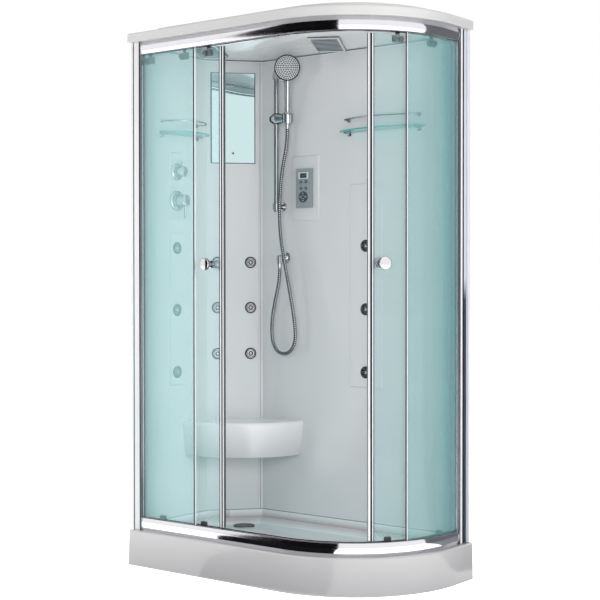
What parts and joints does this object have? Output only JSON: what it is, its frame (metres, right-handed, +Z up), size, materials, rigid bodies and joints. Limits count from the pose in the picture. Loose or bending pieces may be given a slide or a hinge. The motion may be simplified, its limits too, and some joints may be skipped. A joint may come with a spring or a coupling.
{
  "type": "shower cabin",
  "caption": "Offset quadrant shower cabin with a curved glazed front, two sliding doors on roller wheels, tray, moulded walls, massage jets, seat, hand shower and control panel.",
  "frame": {"origin": "middle of the footprint at floor level", "axes": "+X to the right along the back wall, +Y from the glazed front to the back wall, +Z up"},
  "size_m": [1.206, 0.6, 2.1],
  "materials": {
    "acrylic": "white gloss moulded acrylic",
    "chrome": "polished chrome plate",
    "bright_aluminium": "bright polished anodised aluminium",
    "clear_glass": "clear toughened glass with a green tint",
    "shelf_glass": "clear toughened glass with green edges",
    "mirror": "silvered glass mirror",
    "clear_seal": "soft translucent vinyl",
    "magnet_profile": "extruded vinyl with a magnetic core",
    "nylon": "white nylon",
    "plated_plastic": "chrome plated plastic",
    "panel_plastic": "grey gloss plastic",
    "display": "dark display window in a light bezel",
    "key_plastic": "grey satin plastic",
    "steel": "galvanised steel",
    "foot_plastic": "black plastic",
    "drain_plastic": "light grey plastic",
    "nozzle_rubber": "grey silicone"
  },
  "bodies": {
    "cabin": {"tray": "acrylic", "tray_frame": "steel", "tray_feet": "foot_plastic", "drain_trap": "drain_plastic", "drain_cover": "chrome", "left_wall": "acrylic", "corner_wall": "acrylic", "back_wall": "acrylic", "seat": "acrylic", "roof": "acrylic", "ceiling_panel": "acrylic", "ceiling_grilles": "drain_plastic", "top_rail": "bright_aluminium", "bottom_rail": "bright_aluminium", "wall_channels": "bright_aluminium", "left_fixed_glass": "clear_glass", "right_fixed_glass": "clear_glass", "fixed_glass_seals": "clear_seal", "mirror": "mirror", "mirror_screws": "chrome", "left_shelf_glass": "shelf_glass", "right_shelf_glass": "shelf_glass", "shelf_rails": "chrome", "shelf_clips": "chrome", "mixer_body": "chrome", "diverter_body": "chrome", "slide_bar": "chrome", "slide_bar_mounts": "chrome", "hose_outlet": "chrome", "outlet_nut": "chrome", "hose": "chrome", "panel_housing": "panel_plastic", "panel_display": "display", "massage_jets": "chrome"},
    "left_door": {"left_door_glass": "clear_glass", "left_door_seals": "magnet_profile", "left_door_hangers": "chrome", "left_door_guides": "nylon", "left_knob": "chrome"},
    "left_outer_wheel": {"left_outer_wheel": "nylon"},
    "left_middle_wheel": {"left_middle_wheel": "nylon"},
    "left_inner_wheel": {"left_inner_wheel": "nylon"},
    "right_door": {"right_door_glass": "clear_glass", "right_door_seals": "magnet_profile", "right_door_hangers": "chrome", "right_door_guides": "nylon", "right_knob": "chrome"},
    "right_front_wheel": {"right_front_wheel": "nylon"},
    "right_rear_wheel": {"right_rear_wheel": "nylon"},
    "mixer_lever": {"mixer_lever": "chrome"},
    "diverter_knob": {"diverter_knob": "chrome"},
    "slider": {"slider": "plated_plastic", "hand_shower": "plated_plastic", "spray_face": "nozzle_rubber", "handle_nut": "chrome"},
    "power_key": {"power_key": "key_plastic"},
    "light_key": {"light_key": "key_plastic"},
    "fan_key": {"fan_key": "key_plastic"},
    "radio_key": {"radio_key": "key_plastic"},
    "cursor_key": {"cursor_key": "key_plastic"}
  },
  "joints": [
    {"name": "left_door_slide", "type": "slide", "parent": "cabin", "child": "left_door", "axis": [1, 0, 0], "range_m": [0, 0.276]},
    {"name": "right_door_slide", "type": "hinge", "parent": "cabin", "child": "right_door", "pos_m": [0.142, 0.161, 1], "axis": [0, 0, 1], "range_deg": [-44.96, 0]},
    {"name": "left_outer_wheel_roll", "type": "hinge", "parent": "left_door", "child": "left_outer_wheel", "pos_m": [-0.528, -0.232, 2.0083], "axis": [0, 1, 0], "range_deg": [-5, 1445]},
    {"name": "left_middle_wheel_roll", "type": "hinge", "parent": "left_door", "child": "left_middle_wheel", "pos_m": [-0.348, -0.232, 2.0083], "axis": [0, 1, 0], "range_deg": [-5, 1445]},
    {"name": "left_inner_wheel_roll", "type": "hinge", "parent": "left_door", "child": "left_inner_wheel", "pos_m": [-0.226, -0.232, 2.0083], "axis": [0, 1, 0], "range_deg": [-5, 1445]},
    {"name": "right_front_wheel_roll", "type": "hinge", "parent": "right_door", "child": "right_front_wheel", "pos_m": [0.48235, -0.0355, 2.0083], "axis": [-0.866, 0.5, 0], "range_deg": [-1615, 5]},
    {"name": "right_rear_wheel_roll", "type": "hinge", "parent": "right_door", "child": "right_rear_wheel", "pos_m": [0.53118, 0.1063, 2.0083], "axis": [-0.9903, 0.1392, 0], "range_deg": [-1615, 5]},
    {"name": "mixer_turn", "type": "hinge", "parent": "cabin", "child": "mixer_lever", "pos_m": [-0.49, -0.087, 1.432], "axis": [1, 0, 0], "range_deg": [-60, 60]},
    {"name": "diverter_turn", "type": "hinge", "parent": "cabin", "child": "diverter_knob", "pos_m": [-0.5, -0.087, 1.548], "axis": [1, 0, 0], "range_deg": [-90, 90]},
    {"name": "slider_height", "type": "slide", "parent": "cabin", "child": "slider", "axis": [0, 0, 1], "range_m": [-0.3, 0], "deforming": ["hose"]},
    {"name": "power_key_press", "type": "slide", "parent": "cabin", "child": "power_key", "axis": [0, 1, 0], "range_m": [0, 0.0012], "stiffness_N_per_m": 800, "springref_m": -0.0005},
    {"name": "light_key_press", "type": "slide", "parent": "cabin", "child": "light_key", "axis": [0, 1, 0], "range_m": [0, 0.0012], "stiffness_N_per_m": 800, "springref_m": -0.0005},
    {"name": "fan_key_press", "type": "slide", "parent": "cabin", "child": "fan_key", "axis": [0, 1, 0], "range_m": [0, 0.0012], "stiffness_N_per_m": 800, "springref_m": -0.0005},
    {"name": "radio_key_press", "type": "slide", "parent": "cabin", "child": "radio_key", "axis": [0, 1, 0], "range_m": [0, 0.0012], "stiffness_N_per_m": 800, "springref_m": -0.0005},
    {"name": "cursor_key_press", "type": "slide", "parent": "cabin", "child": "cursor_key", "axis": [0, 1, 0], "range_m": [0, 0.0012], "stiffness_N_per_m": 800, "springref_m": -0.0005}
  ],
  "couplings": [
    {"joint": "left_outer_wheel_roll", "follows": "left_door_slide", "rad_per_m": 90.909},
    {"joint": "left_middle_wheel_roll", "follows": "left_door_slide", "rad_per_m": 90.909},
    {"joint": "left_inner_wheel_roll", "follows": "left_door_slide", "rad_per_m": 90.909},
    {"joint": "right_front_wheel_roll", "follows": "right_door_slide", "ratio": 35.727},
    {"joint": "right_rear_wheel_roll", "follows": "right_door_slide", "ratio": 35.727}
  ]
}
